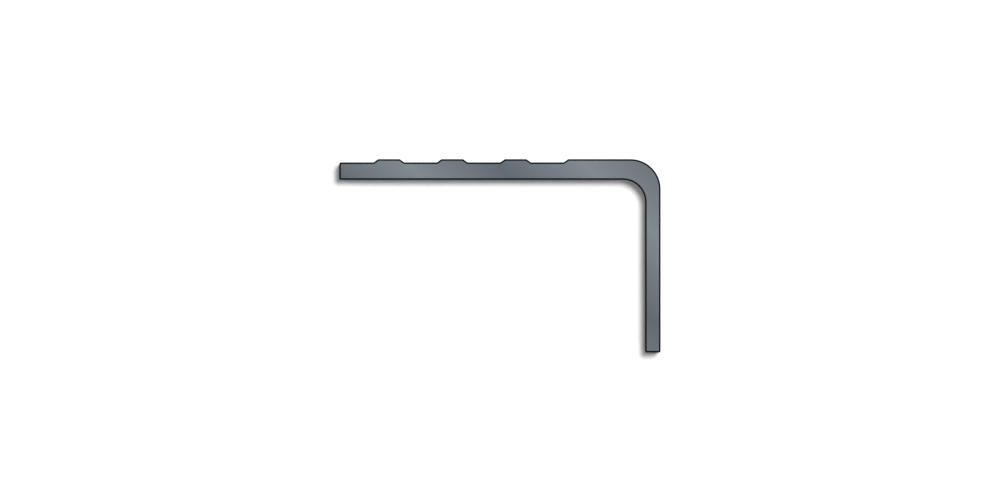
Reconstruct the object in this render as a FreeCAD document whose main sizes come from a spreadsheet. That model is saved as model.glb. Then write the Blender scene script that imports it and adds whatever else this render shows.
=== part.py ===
import FreeCAD, Part
import math
import os
import Sketcher

# Stair nosing: one length of ribbed aluminium angle, extruded in one piece.
# A wide flange lies on the tread, with three raised grip ribs, and a narrow
# flange hangs down the riser. A rounded nose joins them.
#
# The section is drawn as it sits on a step. Its datum is the sharp corner where
# the rib tops' plane meets the riser flange's outer face. The finished length is
# then laid on a level floor as it rests unheld: like a tent, on the tread
# flange's lower free edge and on the inner edge of the riser flange's foot.
#
# X runs along the length, Y across the section towards the riser side, Z up.

NODE = "nosing_profile"
DATUM_CORNER = (-1, 1)

# Driving dimensions, in millimetres (the count is a plain number).
DIMENSIONS = [
    ("length", 900.0, "length the nosing is cut to"),
    ("width", 50.0, "free edge to riser flange's outer face"),
    ("height", 30.0, "rib tops to riser flange's foot"),
    ("edge_thickness", 2.5, "tread flange between the ribs and at its free edge"),
    ("rib_height", 0.5, "ribs and nose above the tread flange"),
    ("riser_thickness", 2.2, "riser flange"),
    ("nose_radius", 4.6, "outside of the nose"),
    ("inner_radius", 3.6, "inside of the nose"),
    ("corner_radius", 0.15, "the die's rounding of every other corner"),
    ("edge_land", 5.3, "plain strip between the free edge and the first rib"),
    ("nose_land", 9.7, "flat strip at rib height, in front of the nose's arc"),
    ("rib_count", 3, "ribs on the tread flange"),
    ("rib_top", 3.3, "flat top of a rib"),
    ("rib_slope", 0.7, "width of a rib's sloping side"),
]

# Sizes that follow from the driving ones.
TREAD_THICKNESS = "(dims.edge_thickness + dims.rib_height)"
RIB_PITCH = (
    "((dims.width - dims.nose_radius - dims.nose_land - dims.rib_slope"
    " - dims.edge_land) / dims.rib_count)"
)
INNER_WIDTH = "(dims.width - dims.riser_thickness)"
INNER_HEIGHT = f"(dims.height - {TREAD_THICKNESS})"
REST_ANGLE = f"atan({INNER_HEIGHT} / {INNER_WIDTH})"


def make_sheet(doc):
    sheet = doc.addObject("Spreadsheet::Sheet", "dims")
    for row, (alias, value, meaning) in enumerate(DIMENSIONS, start=1):
        sheet.set(f"A{row}", alias)
        sheet.set(f"B{row}", str(value))
        sheet.set(f"C{row}", meaning)
        sheet.setAlias(f"B{row}", alias)
    doc.recompute()
    return sheet


def origin_feature(body, role):
    return next(feature for feature in body.Origin.OriginFeatures if feature.Role == role)


def new_sketch(body, name):
    sketch = body.newObject("Sketcher::SketchObject", name)
    sketch.AttachmentSupport = [(origin_feature(body, "YZ_Plane"), "")]
    sketch.MapMode = "FlatFace"
    return sketch


def start_of(line):
    """A line's or arc's start, as a constraint names it."""
    return line, 1


def end_of(line):
    """A line's or arc's end, as a constraint names it."""
    return line, 2


def constrain(sketch, kind, *values):
    return sketch.addConstraint(Sketcher.Constraint(kind, *values))


def bind(sketch, name, expression, kind, *values):
    """Add a dimension to the sketch and tie it to the sheet."""
    number = constrain(sketch, kind, *values)
    sketch.renameConstraint(number, name)
    sketch.setExpression(f"Constraints.{name}", expression)


def add_lines(sketch, points):
    """Draw a chain of lines through the points and return their numbers."""
    lines = []
    for start, end in zip(points, points[1:]):
        segment = Part.LineSegment(FreeCAD.Vector(*start, 0), FreeCAD.Vector(*end, 0))
        lines.append(sketch.addGeometry(segment, False))
    for line, following in zip(lines, lines[1:]):
        constrain(sketch, "Coincident", *end_of(line), *start_of(following))
    return lines


def add_quarter_arc(sketch, centre, radius):
    """Draw an arc from the centre's right side round to its top."""
    circle = Part.Circle(FreeCAD.Vector(*centre, 0), FreeCAD.Vector(0, 0, 1), radius)
    return sketch.addGeometry(Part.ArcOfCircle(circle, 0, math.pi / 2), False)


def draw_section(sketch, dims):
    """The angle's section: flat tread flange, nose land, nose and riser flange."""
    tread_thickness = dims.edge_thickness + dims.rib_height
    land_start = -dims.nose_radius - dims.nose_land
    inner_face = -dims.riser_thickness

    underside, free_edge, floor, slope, land = add_lines(sketch, [
        (inner_face - dims.inner_radius, -tread_thickness),
        (-dims.width, -tread_thickness),
        (-dims.width, -dims.rib_height),
        (land_start - dims.rib_slope, -dims.rib_height),
        (land_start, 0),
        (-dims.nose_radius, 0),
    ])
    outer_face, foot, inner_line = add_lines(sketch, [
        (0, -dims.nose_radius),
        (0, -dims.height),
        (inner_face, -dims.height),
        (inner_face, -tread_thickness - dims.inner_radius),
    ])
    nose = add_quarter_arc(sketch, (-dims.nose_radius, -dims.nose_radius), dims.nose_radius)
    inner_centre = (inner_face - dims.inner_radius, -tread_thickness - dims.inner_radius)
    inside = add_quarter_arc(sketch, inner_centre, dims.inner_radius)

    for line in (underside, floor, land, foot):
        constrain(sketch, "Horizontal", line)
    for line in (free_edge, outer_face, inner_line):
        constrain(sketch, "Vertical", line)
    constrain(sketch, "Horizontal", *end_of(land), *DATUM_CORNER)
    constrain(sketch, "Vertical", *start_of(outer_face), *DATUM_CORNER)
    constrain(sketch, "Tangent", *end_of(land), *end_of(nose))
    constrain(sketch, "Tangent", *start_of(nose), *start_of(outer_face))
    constrain(sketch, "Tangent", *end_of(inner_line), *start_of(inside))
    constrain(sketch, "Tangent", *end_of(inside), *start_of(underside))

    bind(sketch, "width", "dims.width",
         "DistanceX", *end_of(free_edge), *DATUM_CORNER, dims.width)
    bind(sketch, "height", "dims.height",
         "DistanceY", *end_of(foot), *DATUM_CORNER, dims.height)
    bind(sketch, "edge_thickness", "dims.edge_thickness",
         "DistanceY", *start_of(free_edge), *end_of(free_edge), dims.edge_thickness)
    bind(sketch, "floor_depth", "dims.rib_height",
         "DistanceY", *end_of(free_edge), *DATUM_CORNER, dims.rib_height)
    bind(sketch, "slope", "dims.rib_slope",
         "DistanceX", *start_of(slope), *end_of(slope), dims.rib_slope)
    bind(sketch, "land", "dims.nose_land",
         "DistanceX", *start_of(land), *end_of(land), dims.nose_land)
    bind(sketch, "riser_thickness", "dims.riser_thickness",
         "DistanceX", *end_of(foot), *start_of(foot), dims.riser_thickness)
    bind(sketch, "nose_radius", "dims.nose_radius", "Radius", nose, dims.nose_radius)
    bind(sketch, "inner_radius", "dims.inner_radius", "Radius", inside, dims.inner_radius)


def draw_rib(sketch, dims):
    """One grip rib, with a flat top and two sloping sides, at the free edge's end."""
    rib_start = dims.edge_land - dims.width
    rib_end = rib_start + 2 * dims.rib_slope + dims.rib_top
    base, rise, top, fall = add_lines(sketch, [
        (rib_end, -dims.rib_height),
        (rib_start, -dims.rib_height),
        (rib_start + dims.rib_slope, 0),
        (rib_end - dims.rib_slope, 0),
        (rib_end, -dims.rib_height),
    ])
    constrain(sketch, "Coincident", *end_of(fall), *start_of(base))
    constrain(sketch, "Horizontal", base)
    constrain(sketch, "Horizontal", top)
    constrain(sketch, "Horizontal", *start_of(top), *DATUM_CORNER)
    bind(sketch, "rib_height", "dims.rib_height",
         "DistanceY", *end_of(base), *DATUM_CORNER, dims.rib_height)
    bind(sketch, "rib_place", "dims.width - dims.edge_land",
         "DistanceX", *end_of(base), *DATUM_CORNER, -rib_start)
    bind(sketch, "near_slope", "dims.rib_slope",
         "DistanceX", *start_of(rise), *end_of(rise), dims.rib_slope)
    bind(sketch, "rib_top", "dims.rib_top",
         "DistanceX", *start_of(top), *end_of(top), dims.rib_top)
    bind(sketch, "far_slope", "dims.rib_slope",
         "DistanceX", *start_of(fall), *end_of(fall), dims.rib_slope)


def pad_along_length(body, sketch, name):
    """Extrude the sketch to the full length, half each way from the middle."""
    pad = body.newObject("PartDesign::Pad", name)
    pad.Profile = sketch
    pad.SideType = "Symmetric"
    pad.setExpression("Length", "dims.length")
    return pad


def is_long_corner(shape, edge):
    """Whether an edge runs along the length, between faces that don't run smoothly on."""
    middle = edge.valueAt((edge.FirstParameter + edge.LastParameter) / 2)
    if abs(edge.tangentAt(edge.FirstParameter).x) < 0.999:
        return False
    first, second = (
        face.normalAt(*face.Surface.parameter(middle))
        for face in shape.ancestorsOfType(edge, Part.Face)
    )
    return first.dot(second) < 0.999


def round_corners(doc, body, finished):
    """Round the section's corners, as every extruding die does."""
    doc.recompute()
    corners = [
        f"Edge{number}"
        for number, edge in enumerate(finished.Shape.Edges, start=1)
        if is_long_corner(finished.Shape, edge)
    ]
    fillet = body.newObject("PartDesign::Fillet", "Corners")
    fillet.Base = (finished, corners)
    fillet.setExpression("Radius", "dims.corner_radius")
    return fillet


def make_nosing(doc, dims):
    body = doc.addObject("PartDesign::Body", "Nosing")
    body.Label = NODE

    section = new_sketch(body, "Section")
    draw_section(section, dims)
    angle = pad_along_length(body, section, "Angle")

    rib_section = new_sketch(body, "RibSection")
    draw_rib(rib_section, dims)
    rib = pad_along_length(body, rib_section, "Rib")

    ribs = body.newObject("PartDesign::LinearPattern", "Ribs")
    ribs.Originals = [rib]
    ribs.Direction = (origin_feature(body, "Y_Axis"), [""])
    ribs.Mode = "Spacing"
    ribs.setExpression("Offset", RIB_PITCH)
    ribs.setExpression("Occurrences", "dims.rib_count")
    body.Tip = ribs

    corners = round_corners(doc, body, ribs)
    lay_on_floor(body)
    return body, angle, rib, ribs, corners


def lay_on_floor(body):
    """Turn the section to its rest angle, centre it and set it on the floor."""
    sine = f"sin({REST_ANGLE})"
    cosine = f"cos({REST_ANGLE})"
    nearest = f"(dims.width * {cosine} - dims.rib_height * {sine})"
    farthest = f"(dims.height * {sine})"
    sharp_corner = f"(dims.width * {sine} + {TREAD_THICKNESS} * {cosine})"
    rounding = f"(dims.corner_radius * ({sine} + {cosine} - 1))"
    body.Placement = FreeCAD.Placement(
        FreeCAD.Vector(), FreeCAD.Rotation(FreeCAD.Vector(1, 0, 0), 1)
    )
    body.setExpression(".Placement.Rotation.Angle", REST_ANGLE)
    body.setExpression(".Placement.Base.y", f"({nearest} - {farthest}) / 2")
    body.setExpression(".Placement.Base.z", f"{sharp_corner} - {rounding}")


def check(doc, body, angle, rib, ribs, corners):
    """Stop at a failed feature, a bad shape, or a feature that changes nothing."""
    for feature in doc.Objects:
        bad = {"Invalid", "Error"} & set(feature.State)
        if bad:
            raise RuntimeError(f"{feature.Label} is {bad}")
    if body.Shape.isNull() or not body.Shape.isValid():
        raise RuntimeError(f"{body.Label} has no valid shape")
    if len(body.Shape.Solids) != 1:
        raise RuntimeError(f"{body.Label} isn't one solid")
    if not angle.Shape.Volume < rib.Shape.Volume <= ribs.Shape.Volume:
        raise RuntimeError("the ribs add no metal")
    if corners.Shape.Volume == ribs.Shape.Volume:
        raise RuntimeError("no corner is rounded")


def main():
    doc = FreeCAD.newDocument("StairNosing")
    dims = make_sheet(doc)
    body, *features = make_nosing(doc, dims)
    doc.recompute()
    check(doc, body, *features)
    os.makedirs("parts", exist_ok=True)
    body.Shape.exportStep(f"parts/{body.Label}.step")
    box = body.Shape.BoundBox
    print(f"{body.Label}: {box.XLength:.2f} x {box.YLength:.2f} x {box.ZLength:.2f} mm")
    print(f"lowest point {box.ZMin:.4f}, section {body.Shape.Volume / box.XLength:.2f} mm2")


main()
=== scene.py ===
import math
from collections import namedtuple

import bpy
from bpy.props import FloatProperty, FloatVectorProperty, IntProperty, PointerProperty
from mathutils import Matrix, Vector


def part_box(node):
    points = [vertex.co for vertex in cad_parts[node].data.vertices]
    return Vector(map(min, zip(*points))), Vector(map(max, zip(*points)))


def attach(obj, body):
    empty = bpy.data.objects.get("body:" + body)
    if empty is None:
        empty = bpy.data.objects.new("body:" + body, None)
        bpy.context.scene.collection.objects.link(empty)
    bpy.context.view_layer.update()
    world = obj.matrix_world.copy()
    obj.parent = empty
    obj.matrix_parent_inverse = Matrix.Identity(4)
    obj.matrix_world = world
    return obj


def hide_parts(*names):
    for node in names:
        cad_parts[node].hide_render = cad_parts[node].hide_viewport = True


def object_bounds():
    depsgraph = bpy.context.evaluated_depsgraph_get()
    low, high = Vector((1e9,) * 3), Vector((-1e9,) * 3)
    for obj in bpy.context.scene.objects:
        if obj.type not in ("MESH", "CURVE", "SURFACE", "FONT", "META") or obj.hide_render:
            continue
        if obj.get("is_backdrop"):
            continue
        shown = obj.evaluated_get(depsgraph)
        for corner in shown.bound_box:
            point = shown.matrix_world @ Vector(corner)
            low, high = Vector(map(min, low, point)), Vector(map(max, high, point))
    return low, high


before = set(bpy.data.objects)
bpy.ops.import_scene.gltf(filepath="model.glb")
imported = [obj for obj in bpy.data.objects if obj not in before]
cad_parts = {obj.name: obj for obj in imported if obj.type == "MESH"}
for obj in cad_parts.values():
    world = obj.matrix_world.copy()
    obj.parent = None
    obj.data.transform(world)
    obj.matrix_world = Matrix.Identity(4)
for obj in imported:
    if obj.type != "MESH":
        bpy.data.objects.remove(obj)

# A ribbed aluminium stair nosing, lying like a tent on a pale studio floor.
#
# Its section is drawn as on a step: a point is (across, up) from the sharp corner
# where the rib tops' plane meets the riser flange's outer face. Lengths are in
# metres. X runs along the nosing, Y across it towards the riser flange, Z up.

bl_info = {
    "name": "Stair Nosing",
    "version": (1, 0, 0),
    "blender": (4, 5, 0),
    "location": "View3D > Sidebar > Nosing",
    "description": "Makes a ribbed stair nosing in satin aluminium, and its studio",
    "category": "Add Mesh",
}

PIECE = "stair_nosing"
NODE = "nosing_profile"
BODY = "root"
MM = 0.001

CAD_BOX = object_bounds()
NODE_LOW, NODE_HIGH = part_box(NODE)

# Where the photograph shows the section, in its own pixels: the free edge, the riser
# flange's outer face, the rib tops and the tread flange's underside.
PHOTO_WIDTH = 1000
PHOTO_HEIGHT = 497
DRAWN_FREE_EDGE = 340.0
DRAWN_OUTER_FACE = 659.9
DRAWN_RIB_TOPS = 159.95
DRAWN_UNDERSIDE = 179.0


def screen_to_light(shade):
    """A shade from 0 to 1 as a screen shows it, in sRGB, as the share of light it stands for."""
    if shade <= 0.04045:
        return shade / 12.92
    return ((shade + 0.055) / 1.055) ** 2.4


def distance(name, description, default):
    """A length that a user can change."""
    return FloatProperty(
        name=name, description=description, default=default, min=0, precision=5, unit="LENGTH"
    )


def share(name, description, default):
    """A number from 0 to 1 that a user can change."""
    return FloatProperty(
        name=name, description=description, default=default, min=0, max=1, subtype="FACTOR"
    )


def amount(name, description, default):
    """A plain number that a user can change."""
    return FloatProperty(name=name, description=description, default=default, min=0)


def colour(name, description, red, green, blue):
    """A colour that a user can change, given as a screen shows it, from 0 to 255."""
    default = [screen_to_light(channel / 255) for channel in (red, green, blue)]
    return FloatVectorProperty(
        name=name, description=description, default=default, min=0, max=1, subtype="COLOR"
    )


class NosingSizes(bpy.types.PropertyGroup):
    """The section's sizes, and those of its fine edges."""

    length: distance("Length", "Length the nosing is cut to", NODE_HIGH.x - NODE_LOW.x)
    width: distance("Width", "Free edge to the riser flange's outer face", 50 * MM)
    height: distance("Height", "Rib tops to the riser flange's foot", 30 * MM)
    edge_thickness: distance("Edge thickness", "Tread flange between the ribs", 2.5 * MM)
    rib_height: distance("Rib height", "Ribs above the tread flange", 0.5 * MM)
    riser_thickness: distance("Riser thickness", "Riser flange", 2.2 * MM)
    nose_radius: distance("Nose radius", "Outside of the nose", 4.6 * MM)
    inner_radius: distance("Inner radius", "Inside of the nose", 3.6 * MM)
    corner_radius: distance("Corner radius", "Die's rounding of other corners", 0.15 * MM)
    edge_land: distance("Edge land", "Plain strip between free edge and ribs", 5.3 * MM)
    nose_land: distance("Nose land", "Flat strip in front of the nose's arc", 9.7 * MM)
    rib_count: IntProperty(name="Ribs", description="Ribs on the tread flange", default=3, min=1)
    rib_top: distance("Rib top", "Flat top of a rib", 3.3 * MM)
    rib_slope: distance("Rib slope", "Width of a rib's sloping side", 0.7 * MM)
    burr: distance("Burr", "Filed edge of a sawn end", 0.04 * MM)
    rim: distance("Rim", "Dark line round a sawn end, as the drawing inks it", 0.1 * MM)


class NosingFinish(bpy.types.PropertyGroup):
    """The shades of the metal's painted sheen bands and of the ink, and the marks of the die and
    the saw.
    """

    # Light and dark shades of the painted sheen: bands in the base colour that stand in for the
    # metal's reflections. The metal's own colour lies between them.
    painted_sheen_light: colour("Light metal", "Lightest shade of the metal", 132, 141, 146)
    painted_sheen_dark: colour("Dark metal", "Darkest shade of the metal", 102, 109, 116)
    rim_ink: colour("Rim ink", "Line round a sawn end", 10, 11, 12)
    rim_roughness: share("Rim roughness", "Roughness of the line round a sawn end", 0.7)
    rim_gloss: share("Rim gloss", "Specular level of the line round a sawn end", 0.0)
    # Spacing and place of the painted sheen bands.
    band_period: distance("Band period", "Light band to light band, at a slant", 27.9 * MM)
    band_start: distance("Band start", "Free edge's top to a dark band, at a slant", 23.75 * MM)
    skin_roughness: share("Skin roughness", "Roughness of the extruded skin", 0.36)
    sawn_roughness: share("Sawn roughness", "Roughness of the sawn ends", 0.42)
    streak_width: distance("Streak width", "Broad streaks along the skin", 3 * MM)
    streak_length: distance("Streak length", "How far a broad streak runs", 400 * MM)
    streak_tone: share("Streak tone", "How much the streaks change the shade", 0.15)
    line_width: distance("Line width", "Die lines along the skin", 0.35 * MM)
    line_length: distance("Line length", "How far a die line runs", 200 * MM)
    line_tone: share("Line tone", "How much the die lines change the shade", 0.5)
    line_gloss: share("Line gloss", "How much the die lines change the roughness", 0.12)
    line_depth: distance("Line depth", "How deep the die lines are", 0.01 * MM)
    saw_pitch: distance("Saw pitch", "From one saw mark to the next", 0.5 * MM)
    saw_tone: share("Saw tone", "How much the saw marks change the shade", 0.05)
    saw_gloss: share("Saw gloss", "How much the saw marks change the roughness", 0.1)
    saw_depth: distance("Saw depth", "How deep the saw marks are", 0.002 * MM)
    saw_radius: distance("Saw radius", "Radius of the blade", 150 * MM)


class StudioLook(bpy.types.PropertyGroup):
    """The floor, the room, the lamps, the camera, and what shows the drawn ink and shadow."""

    floor_size: distance("Floor size", "Side of the floor", 8.0)
    floor_shade: share("Floor shade", "How pale the floor is", 0.95)
    room_light: amount("Room light", "The room's own soft light, at the horizon", 1.2)
    ceiling_light: amount("Ceiling light", "The room's own soft light, overhead", 0.6)
    overhead_watts: amount("Overhead lamp", "Power of the lamp over the nosing", 12.0)
    front_watts: amount("Front lamp", "Power of the lamp on the tread flange's side", 6.0)
    back_watts: amount("Back lamp", "Power of the lamp on the riser flange's side", 4.0)
    lamp_length: distance("Lamp length", "Long side of the lamps, along the nosing", 4.0)
    lamp_width: distance("Lamp width", "Short side of the lamps", 0.25)
    camera_distance: distance("Camera distance", "From the near end to the camera", 1.0)
    card_gap: distance("Card gap", "From the far end to the card behind it", 2 * MM)
    card_margin: distance("Card margin", "Card beyond the section, left and down", 2 * MM)
    card_tuck: distance("Card tuck", "Card's edges behind the section", 1 * MM)
    card_paint: share("Card paint", "How much of its lamp's light the card gives back", 0.05)
    card_white: amount("Card white", "How bright the card is outside the shadow", 1.05)
    shadow_shade: share("Shadow shade", "How bright the card is in the shadow", 0.17)
    shadow_shift: distance("Shadow shift", "How far left and down the shadow falls", 0.84 * MM)
    shadow_blur: distance("Shadow blur", "Width of the shadow's soft edge", 1.3 * MM)
    ink_width: distance("Ink width", "Line on the backdrop, round the section", 0.12 * MM)


class Value:
    """A shader node's output, to use in plain sums."""

    def __init__(self, shader, socket):
        self.shader = shader
        self.socket = socket

    def other(self, output):
        """Another output of the same node."""
        return Value(self.shader, self.socket.node.outputs[output])

    def __add__(self, other):
        return self.shader.maths("ADD", self, other)

    def __radd__(self, other):
        return self.shader.maths("ADD", other, self)

    def __sub__(self, other):
        return self.shader.maths("SUBTRACT", self, other)

    def __rsub__(self, other):
        return self.shader.maths("SUBTRACT", other, self)

    def __mul__(self, other):
        return self.shader.maths("MULTIPLY", self, other)

    def __rmul__(self, other):
        return self.shader.maths("MULTIPLY", other, self)

    def __truediv__(self, other):
        return self.shader.maths("DIVIDE", self, other)

    def __rtruediv__(self, other):
        return self.shader.maths("DIVIDE", other, self)


class Shader:
    """The nodes of a material or a world, added one at a time."""

    def __init__(self, owner):
        self.owner = owner
        owner.use_nodes = True
        self.tree = owner.node_tree
        self.tree.nodes.clear()

    def add(self, kind, settings=None, inputs=None, output=0):
        """Add a node: its settings first, then its inputs. Gives one of its outputs."""
        node = self.tree.nodes.new(kind)
        for name, setting in (settings or {}).items():
            setattr(node, name, setting)
        for name, value in (inputs or {}).items():
            socket = node.inputs[name]
            if isinstance(value, Value):
                self.tree.links.new(value.socket, socket)
            elif socket.type == "RGBA":
                socket.default_value = (*value, 1)
            else:
                socket.default_value = value
        return Value(self, node.outputs[output]) if node.outputs else None

    def maths(self, operation, *values):
        return self.add("ShaderNodeMath", {"operation": operation}, dict(enumerate(values)))

    def vector(self, operation, first, second, output="Vector"):
        settings = {"operation": operation}
        return self.add("ShaderNodeVectorMath", settings, {0: first, 1: second}, output)

    def place(self):
        """A point's place on the object."""
        return self.add("ShaderNodeTexCoord").other("Object")

    def mix(self, factor, first, second):
        """A colour between two, by a factor from 0 to 1."""
        settings = {"data_type": "RGBA"}
        return self.add("ShaderNodeMix", settings, {0: factor, 6: first, 7: second}, 2)

    def scale(self, shade, factor):
        """A colour made lighter or darker by a factor."""
        settings = {"operation": "SCALE"}
        return self.add("ShaderNodeVectorMath", settings, {0: shade, "Scale": factor})

    def bump(self, height, depth):
        """A normal that follows a height from 0 to 1, which stands for a depth."""
        return self.add("ShaderNodeBump", None, {"Height": height, "Distance": depth})


class OutlinePoint:
    """A point of the section's outline, on the arc that rounds one of its corners."""

    def __init__(self, place, normal, corner, mitre, radius):
        self.place = place
        self.normal = normal
        self.corner = corner
        self.mitre = mitre
        self.radius = radius

    def inset(self, depth):
        """The point moved into the metal, or out of it where the depth is below zero.

        A convex arc shrinks to a sharp corner.
        """
        if depth >= self.radius > 0:
            return self.corner - self.mitre * depth
        return self.place - self.normal * depth


def rounded_corner(before, here, after, radius, steps):
    """The points of the arc that rounds a corner. A concave one has a radius below zero."""
    arriving = (here - before).normalized()
    leaving = (after - here).normalized()
    turn = math.atan2(arriving.cross(leaving), arriving.dot(leaving))
    outward = Vector((arriving.y, -arriving.x))
    mitre = Matrix.Rotation(turn / 2, 2) @ outward / math.cos(turn / 2)
    signed = math.copysign(radius, turn)
    centre = here - mitre * signed
    points = []
    for step in range(steps + 1):
        normal = Matrix.Rotation(turn * step / steps, 2) @ outward
        points.append(OutlinePoint(centre + normal * signed, normal, here, mitre, signed))
    return points


class Section:
    """The nosing's outline, from its sizes, and how it lies on the floor.

    The points run anticlockwise, with the metal on their left.
    """

    BEND_STEPS = 32
    CORNER_STEPS = 4

    def __init__(self, sizes):
        self.sizes = sizes
        self.tread = sizes.edge_thickness + sizes.rib_height
        fall = sizes.height - self.tread
        reach = sizes.width - sizes.riser_thickness
        self.turn = Matrix.Rotation(math.atan2(fall, reach), 2)
        self.points = self.outline()
        lying = [self.turn @ point.place for point in self.points]
        middle = (min(place.x for place in lying) + max(place.x for place in lying)) / 2
        lowest = min(place.y for place in lying)
        self.shift = Vector(((NODE_LOW.y + NODE_HIGH.y) / 2 - middle, NODE_LOW.z - lowest))

    def lie(self, point):
        """A point of the section as the (Y, Z) where it lies."""
        return self.turn @ Vector(point) + self.shift

    def lean(self, direction, along=0.0):
        """A direction of the section as it lies, with a share along the nosing."""
        y, z = self.turn @ Vector(direction)
        return Vector((along, y, z)).normalized()

    def corners(self):
        """The outline's sharp corners, each with the radius of its arc."""
        sizes = self.sizes
        small = sizes.corner_radius
        inner_face = -sizes.riser_thickness
        land_start = -sizes.nose_radius - sizes.nose_land
        corners = [
            (-sizes.width, -self.tread, small),
            (inner_face, -self.tread, sizes.inner_radius),
            (inner_face, -sizes.height, small),
            (0, -sizes.height, small),
            (0, 0, sizes.nose_radius),
            (land_start, 0, small),
            (land_start - sizes.rib_slope, -sizes.rib_height, small),
        ]
        for start in reversed(self.rib_starts()):
            end = start + 2 * sizes.rib_slope + sizes.rib_top
            corners += [
                (end, -sizes.rib_height, small),
                (end - sizes.rib_slope, 0, small),
                (start + sizes.rib_slope, 0, small),
                (start, -sizes.rib_height, small),
            ]
        corners.append((-sizes.width, -sizes.rib_height, small))
        return corners

    def rib_starts(self):
        """Where each rib starts, spread evenly from the edge land to the nose land."""
        sizes = self.sizes
        first = sizes.edge_land - sizes.width
        past_last = -sizes.nose_radius - sizes.nose_land - sizes.rib_slope
        pitch = (past_last - first) / sizes.rib_count
        return [first + number * pitch for number in range(sizes.rib_count)]

    def outline(self):
        corners = self.corners()
        points = []
        for number, (across, up, radius) in enumerate(corners):
            before = Vector(corners[number - 1][:2])
            after = Vector(corners[(number + 1) % len(corners)][:2])
            small = radius == self.sizes.corner_radius
            steps = self.CORNER_STEPS if small else self.BEND_STEPS
            points += rounded_corner(before, Vector((across, up)), after, radius, steps)
        return points


FaceCorner = namedtuple("FaceCorner", "vertex normal spot")


class MeshMaker:
    """Gathers faces, with their normals and their map, and makes one closed mesh of them."""

    def __init__(self):
        self.vertices = {}
        self.faces = []
        self.slots = []

    def corner(self, place, normal, spot):
        """A face's corner. Corners at one place share a vertex."""
        key = tuple(round(length, 8) for length in place)
        vertex = self.vertices.setdefault(key, len(self.vertices))
        return FaceCorner(vertex, normal, spot)

    def face(self, corners, slot):
        """Add a face, without the corners that fall on their neighbour."""
        kept = [
            corner for n, corner in enumerate(corners) if corner.vertex != corners[n - 1].vertex
        ]
        if len(kept) > 2:
            self.faces.append(kept)
            self.slots.append(slot)

    def make(self, name, map_name):
        mesh = bpy.data.meshes.new(name)
        faces = [[corner.vertex for corner in face] for face in self.faces]
        mesh.from_pydata(list(self.vertices), [], faces)
        mesh.polygons.foreach_set("material_index", self.slots)
        corners = [corner for face in self.faces for corner in face]
        spots = mesh.uv_layers.new(name=map_name).data
        spots.foreach_set("uv", [number for corner in corners for number in corner.spot])
        mesh.shade_smooth()
        mesh.normals_split_custom_set([corner.normal for corner in corners])
        return mesh


class NosingMap:
    """Where the faces go on the map: skin unrolled above, both sawn ends side by side below.

    Its sizes are shares of the map's side.
    """

    SKIN_LOW = 0.36
    SKIN_HIGH = 0.99
    SKIN_EDGE = 0.03
    STRIP = 0.01
    END_EDGE = 0.01

    def __init__(self, section):
        self.sizes = section.sizes
        self.rounds = [0.0]
        for point, following in zip(section.points, section.points[1:] + section.points[:1]):
            self.rounds.append(self.rounds[-1] + (following.place - point.place).length)

    def on_skin(self, n, side, strips):
        """The spot of outline point n, at one end of the skin or some strips beyond it."""
        along = 0.5 + side * (0.5 - self.SKIN_EDGE + strips * self.STRIP)
        share_round = self.rounds[n] / self.rounds[-1]
        return along, self.SKIN_LOW + (self.SKIN_HIGH - self.SKIN_LOW) * share_round

    def on_end(self, place, side):
        """The spot of a place on a sawn end."""
        scale = (0.5 - 2 * self.END_EDGE) / self.sizes.width
        left = self.END_EDGE + (0.5 if side > 0 else 0.0)
        across = left + (place.x + self.sizes.width) * scale
        return across, self.END_EDGE + (place.y + self.sizes.height) * scale


SKIN, RIM, SAWN = range(3)
MAP_NAME = "OFBake"

# How far a normal of an end's band leans out along the nosing, for each unit across it.
FILED_TILT = 1.0
FLAT_TILT = 1e6


def make_nosing_mesh(section):
    """The nosing: its skin, and at each end a filed edge, a rim and the sawn metal.

    The filed edge and the rim are dark: they make the inner half of the drawing's ink line.
    """
    sizes = section.sizes
    points = section.points
    maker = MeshMaker()
    spots = NosingMap(section)
    half = sizes.length / 2
    skin_end = (half - sizes.burr, 0)
    sawn_edge = (half, sizes.burr)
    rim_edge = (half, sizes.burr + sizes.rim)

    def corner(n, side, ring, tilt, strips):
        """Outline point n on a ring, which is a distance along and a depth into the metal."""
        along, depth = ring
        point = points[n % len(points)]
        y, z = section.lie(point.inset(depth))
        normal = section.lean(point.normal, side * tilt)
        return maker.corner((side * along, y, z), normal, spots.on_skin(n, side, strips))

    def band(n, side, outer, inner, tilt, strips, slot):
        """The face between two rings of an end, from outline point n to the next."""
        first, second = (n, n + 1) if side > 0 else (n + 1, n)
        corners = [
            corner(first, side, outer, tilt, strips),
            corner(second, side, outer, tilt, strips),
            corner(second, side, inner, tilt, strips + 1),
            corner(first, side, inner, tilt, strips + 1),
        ]
        maker.face(corners, slot)

    for n in range(len(points)):
        near = [corner(n + 1, 1, skin_end, 0, 0), corner(n, 1, skin_end, 0, 0)]
        far = [corner(n, -1, skin_end, 0, 0), corner(n + 1, -1, skin_end, 0, 0)]
        maker.face(near + far, SKIN)
        for side in (-1, 1):
            band(n, side, skin_end, sawn_edge, FILED_TILT, 0, RIM)
            band(n, side, sawn_edge, rim_edge, FLAT_TILT, 1, RIM)
    for side in (-1, 1):
        cap = []
        for point in points[::side]:
            place = point.inset(rim_edge[1])
            lying = (side * half, *section.lie(place))
            cap.append(maker.corner(lying, Vector((side, 0, 0)), spots.on_end(place, side)))
        maker.face(cap, SAWN)
    return maker.make(NODE, MAP_NAME)


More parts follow.
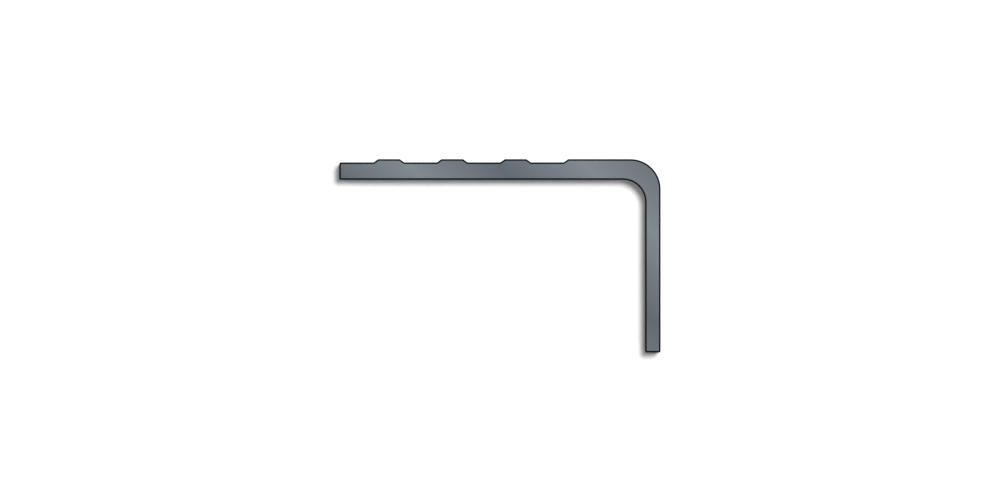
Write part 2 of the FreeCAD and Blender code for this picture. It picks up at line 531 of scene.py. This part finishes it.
def painted_sheen_bands(shader, section, finish):
    """Painted sheen: soft light and dark bands in the base colour, standing in for the metal's
    reflections, at a slant of 45 degrees over the section.
    """
    slant = section.lean((1, 1)) * math.sqrt(2)
    start = slant.yz.dot(section.lie((-section.sizes.width, 0))) + finish.band_start
    reach = shader.vector("DOT_PRODUCT", shader.place(), slant, "Value") - start
    half = finish.band_period / 2
    return shader.mix(
        shader.maths("PINGPONG", reach, half) / half, finish.painted_sheen_dark, finish.painted_sheen_light
    )


# How many finer layers a noise has, and how many mark widths its wave takes: a mark and a gap.
NOISE_DETAIL = 2.0
WIDTHS_PER_WAVE = 2


def lengthwise_marks(shader, width, length):
    """Marks of about one width and one length along the nosing, around 0 within half a unit."""
    drawn_out = shader.vector("MULTIPLY", shader.place(), (width / length, 1, 1))
    scale = 1 / (WIDTHS_PER_WAVE * width)
    inputs = {"Vector": drawn_out, "Scale": scale, "Detail": NOISE_DETAIL}
    return shader.add("ShaderNodeTexNoise", {"noise_dimensions": "3D"}, inputs) - 0.5


def bare_metal(shader, shade, roughness, relief):
    """The surface of bare metal, from its shade, its roughness and its relief."""
    inputs = {"Base Color": shade, "Metallic": 1.0, "Roughness": roughness, "Normal": relief}
    metal = shader.add("ShaderNodeBsdfPrincipled", None, inputs)
    shader.add("ShaderNodeOutputMaterial", None, {"Surface": metal})


def make_skin(section, finish):
    """Extruded skin: satin metal with painted sheen bands, and the broad streaks and fine lines
    that the die leaves.
    """
    material = bpy.data.materials.new("extruded_skin")
    shader = Shader(material)
    streaks = lengthwise_marks(shader, finish.streak_width, finish.streak_length)
    lines = lengthwise_marks(shader, finish.line_width, finish.line_length)
    tone = 1 + streaks * finish.streak_tone + lines * finish.line_tone
    # The base colour is the painted sheen bands, with the die's streaks and lines over them.
    shade = shader.scale(painted_sheen_bands(shader, section, finish), tone)
    roughness = finish.skin_roughness + (streaks + lines) * finish.line_gloss
    bare_metal(shader, shade, roughness, shader.bump(lines, finish.line_depth))
    return material


def make_rim(finish):
    """The dark line round a sawn end, in a matt ink."""
    material = bpy.data.materials.new("dark_rim")
    shader = Shader(material)
    inputs = {
        "Base Color": finish.rim_ink,
        "Roughness": finish.rim_roughness,
        "Specular IOR Level": finish.rim_gloss,
    }
    ink = shader.add("ShaderNodeBsdfPrincipled", None, inputs)
    shader.add("ShaderNodeOutputMaterial", None, {"Surface": ink})
    return material


def make_sawn_end(section, finish):
    """Sawn metal with painted sheen bands, and the faint arcs that the blade leaves."""
    material = bpy.data.materials.new("sawn_metal")
    shader = Shader(material)
    flattened = shader.vector("MULTIPLY", shader.place(), (0, 1, 1))
    reach = shader.vector("DISTANCE", flattened, (0, 0, -finish.saw_radius), "Value")
    inputs = {"W": reach / finish.saw_pitch, "Scale": 1.0, "Detail": NOISE_DETAIL}
    marks = shader.add("ShaderNodeTexNoise", {"noise_dimensions": "1D"}, inputs) - 0.5
    # The base colour is the painted sheen bands, with the saw marks over them.
    shade = shader.scale(painted_sheen_bands(shader, section, finish), 1 + marks * finish.saw_tone)
    roughness = finish.sawn_roughness + marks * finish.saw_gloss
    bare_metal(shader, shade, roughness, shader.bump(marks, finish.saw_depth))
    return material


class NOSING_OT_profile(bpy.types.Operator):
    """Make the nosing: its ribbed skin and its two sawn ends"""

    bl_idname = "nosing.profile"
    bl_label = "Make the nosing"

    def execute(self, context):
        finish = context.scene.nosing_finish
        section = Section(context.scene.nosing_sizes)
        mesh = make_nosing_mesh(section)
        mesh.materials.append(make_skin(section, finish))
        mesh.materials.append(make_rim(finish))
        mesh.materials.append(make_sawn_end(section, finish))
        nosing = bpy.data.objects.new(PIECE, mesh)
        context.scene.collection.objects.link(nosing)
        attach(nosing, BODY)
        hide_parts(NODE)
        return {"FINISHED"}


def make_floor(scene, look):
    half = look.floor_size / 2
    mesh = bpy.data.meshes.new("floor")
    corners = [(-half, -half, 0), (half, -half, 0), (half, half, 0), (-half, half, 0)]
    mesh.from_pydata(corners, [], [(0, 1, 2, 3)])
    material = bpy.data.materials.new("white_floor")
    shader = Shader(material)
    paint = shader.add("ShaderNodeBsdfDiffuse", None, {"Color": [look.floor_shade] * 3})
    shader.add("ShaderNodeOutputMaterial", None, {"Surface": paint})
    mesh.materials.append(material)
    floor = bpy.data.objects.new("floor", mesh)
    scene.collection.objects.link(floor)
    floor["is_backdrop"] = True


def make_room(scene, look):
    """A soft white room, brightest at the horizon, which is also the backdrop."""
    world = bpy.data.worlds.new("room")
    scene.world = world
    shader = Shader(world)
    direction = shader.add("ShaderNodeTexCoord").other("Generated")
    height = shader.add("ShaderNodeSeparateXYZ", None, {0: direction}, "Z")
    fall = 1 - shader.maths("MAXIMUM", height, 0.0)
    light = look.ceiling_light + fall * fall * (look.room_light - look.ceiling_light)
    room = shader.add("ShaderNodeBackground", None, {"Color": (1, 1, 1), "Strength": light})
    shader.add("ShaderNodeOutputWorld", None, {"Surface": room})


def hang_lamp(scene, lamp, place, aim):
    """Put a lamp at a place and turn it to shine at another."""
    holder = bpy.data.objects.new(lamp.name, lamp)
    holder.location = place
    holder.rotation_euler = (Vector(aim) - Vector(place)).to_track_quat("-Z", "Y").to_euler()
    scene.collection.objects.link(holder)
    return holder


# Where each long lamp hangs: across the nosing from its middle, and over the floor.
LAMP_PLACES = {"overhead": (0.45, 1.5), "front": (-1.5, 0.6), "back": (1.3, 1.0)}


def make_long_lamps(scene, look):
    """Long soft lamps that hang parallel to the nosing and shine on it."""
    for name, place in LAMP_PLACES.items():
        lamp = bpy.data.lights.new(name, "AREA")
        lamp.shape = "RECTANGLE"
        lamp.size, lamp.size_y = look.lamp_length, look.lamp_width
        lamp.energy = getattr(look, name + "_watts")
        hang_lamp(scene, lamp, (0, *place), (0, 0, 0))


def show_to_camera(scene, name, places, faces, shader, front):
    """A flat part of the backdrop that only the camera sees, and only its front."""
    back = shader.add("ShaderNodeBsdfTransparent")
    facing = shader.add("ShaderNodeNewGeometry", output="Backfacing")
    sides = shader.add("ShaderNodeMixShader", None, {0: facing, 1: front, 2: back})
    shader.add("ShaderNodeOutputMaterial", None, {"Surface": sides})

    mesh = bpy.data.meshes.new(name)
    mesh.from_pydata(places, [], faces)
    mesh.materials.append(shader.owner)
    sheet = bpy.data.objects.new(name, mesh)
    sheet.visible_diffuse = False
    sheet.visible_glossy = False
    sheet.visible_transmission = False
    sheet.visible_shadow = False
    scene.collection.objects.link(sheet)
    sheet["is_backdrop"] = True
    return sheet


def make_card(scene, look, section):
    """A white card behind the far end, no larger than the shadow that it shows needs."""
    sizes = section.sizes
    left, low = -sizes.width - look.card_margin, -sizes.height - look.card_margin
    behind_edge, behind_foot = -sizes.width + look.card_tuck, -sizes.height + look.card_tuck
    behind_riser, behind_tread = -look.card_tuck, -sizes.rib_height - look.card_tuck
    corners = [
        (left, low),
        (0, low),
        (0, behind_foot),
        (behind_riser, behind_foot),
        (behind_riser, behind_tread),
        (behind_edge, behind_tread),
        (behind_edge, -sizes.rib_height),
        (left, -sizes.rib_height),
    ]
    x = -sizes.length / 2 - look.card_gap
    places = [(x, *section.lie(corner)) for corner in corners]
    shader = Shader(bpy.data.materials.new("card"))
    paint = shader.add("ShaderNodeBsdfDiffuse", None, {"Color": [look.card_paint] * 3})
    glow = shader.add("ShaderNodeEmission", None, {"Strength": look.shadow_shade})
    front = shader.add("ShaderNodeAddShader", None, {0: paint, 1: glow})
    return show_to_camera(scene, "card", places, [range(len(places))], shader, front)


def make_drawn_line(scene, look, section):
    """The outer half of the drawing's ink line: a ring between the far end and the card.

    The near end's rim is its inner half.
    """
    x = -(section.sizes.length + look.card_gap) / 2
    places = []
    for point in section.points:
        places.append((x, *section.lie(point.place)))
        places.append((x, *section.lie(point.inset(-look.ink_width))))
    count = len(places)
    faces = [(n + 1, (n + 3) % count, (n + 2) % count, n) for n in range(0, count, 2)]
    shader = Shader(bpy.data.materials.new("drawn_line"))
    ink = shader.add("ShaderNodeBsdfDiffuse", None, {"Color": (0, 0, 0)})
    show_to_camera(scene, "drawn_line", places, faces, shader, ink)


def make_card_lamp(scene, look, section, card):
    """A lamp that lights the card alone, and throws the nosing's shadow a little left and down."""
    sizes = section.sizes
    reach = sizes.length + look.card_gap
    lamp = bpy.data.lights.new("card_lamp", "SUN")
    lamp.energy = math.pi * (look.card_white - look.shadow_shade) / look.card_paint
    lamp.angle = look.shadow_blur / reach
    near_end = Vector((sizes.length / 2, *section.lie((0, 0))))
    shifted = section.lie((-look.shadow_shift, -look.shadow_shift))
    holder = hang_lamp(scene, lamp, near_end, (near_end.x - reach, *shifted))
    lit = bpy.data.collections.new("lit_by_card_lamp")
    lit.objects.link(card)
    holder.light_linking.receiver_collection = lit
    shading = bpy.data.collections.new("shading_the_card")
    shading.objects.link(bpy.data.objects[PIECE])
    holder.light_linking.blocker_collection = shading


def make_camera(scene, look, section):
    """The camera looks along the nosing, rolled so that the tread flange lies level.

    Its scale and its place follow the tread flange in the photograph.
    """
    sizes = section.sizes
    pixels_per_metre = (DRAWN_OUTER_FACE - DRAWN_FREE_EDGE) / sizes.width
    aside = (PHOTO_WIDTH - DRAWN_FREE_EDGE - DRAWN_OUTER_FACE) / 2 / pixels_per_metre
    above = (DRAWN_RIB_TOPS + DRAWN_UNDERSIDE - PHOTO_HEIGHT) / 2 / pixels_per_metre
    middle = section.lie((aside - sizes.width / 2, above - section.tread / 2))

    camera = bpy.data.cameras.new("camera")
    camera.type = "ORTHO"
    camera.ortho_scale = PHOTO_WIDTH / pixels_per_metre
    right, up, back = section.lean((1, 0)), section.lean((0, 1)), Vector((1, 0, 0))
    holder = bpy.data.objects.new("camera", camera)
    axes = Matrix((right, up, back)).transposed().to_4x4()
    x = sizes.length / 2 + look.camera_distance
    holder.matrix_world = Matrix.Translation((x, *middle)) @ axes
    scene.collection.objects.link(holder)
    scene.camera = holder


class NOSING_OT_stage(bpy.types.Operator):
    """Make the floor, the soft studio light and the camera"""

    bl_idname = "nosing.stage"
    bl_label = "Make the stage"

    def execute(self, context):
        scene = context.scene
        look = scene.nosing_studio
        section = Section(scene.nosing_sizes)
        make_floor(scene, look)
        make_room(scene, look)
        make_long_lamps(scene, look)
        make_card_lamp(scene, look, section, make_card(scene, look, section))
        make_drawn_line(scene, look, section)
        make_camera(scene, look, section)
        scene.view_settings.view_transform = "Standard"
        return {"FINISHED"}


class NOSING_PT_panel(bpy.types.Panel):
    """Lists what the add-on makes, and its settings"""

    bl_idname = "NOSING_PT_panel"
    bl_label = "Stair Nosing"
    bl_space_type = "VIEW_3D"
    bl_region_type = "UI"
    bl_category = "Nosing"

    def draw(self, context):
        for operator in OPERATORS:
            self.layout.operator(operator.bl_idname)
        for name, group in GROUPS.items():
            box = self.layout.box()
            for setting in group.__annotations__:
                box.prop(getattr(context.scene, name), setting)


OPERATORS = (NOSING_OT_profile, NOSING_OT_stage)
GROUPS = {
    "nosing_sizes": NosingSizes,
    "nosing_finish": NosingFinish,
    "nosing_studio": StudioLook,
}


def register():
    for name, group in GROUPS.items():
        bpy.utils.register_class(group)
        setattr(bpy.types.Scene, name, PointerProperty(type=group))
    for listed in (*OPERATORS, NOSING_PT_panel):
        bpy.utils.register_class(listed)


def unregister():
    for listed in (NOSING_PT_panel, *reversed(OPERATORS)):
        bpy.utils.unregister_class(listed)
    for name, group in GROUPS.items():
        delattr(bpy.types.Scene, name)
        bpy.utils.unregister_class(group)


def main():
    register()
    bpy.ops.nosing.profile()
    bpy.ops.nosing.stage()
    boxes = {"cad": CAD_BOX, "visual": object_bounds()}
    {name: [list(corner) for corner in box] for name, box in boxes.items()}


if __name__ == "__main__":
    main()
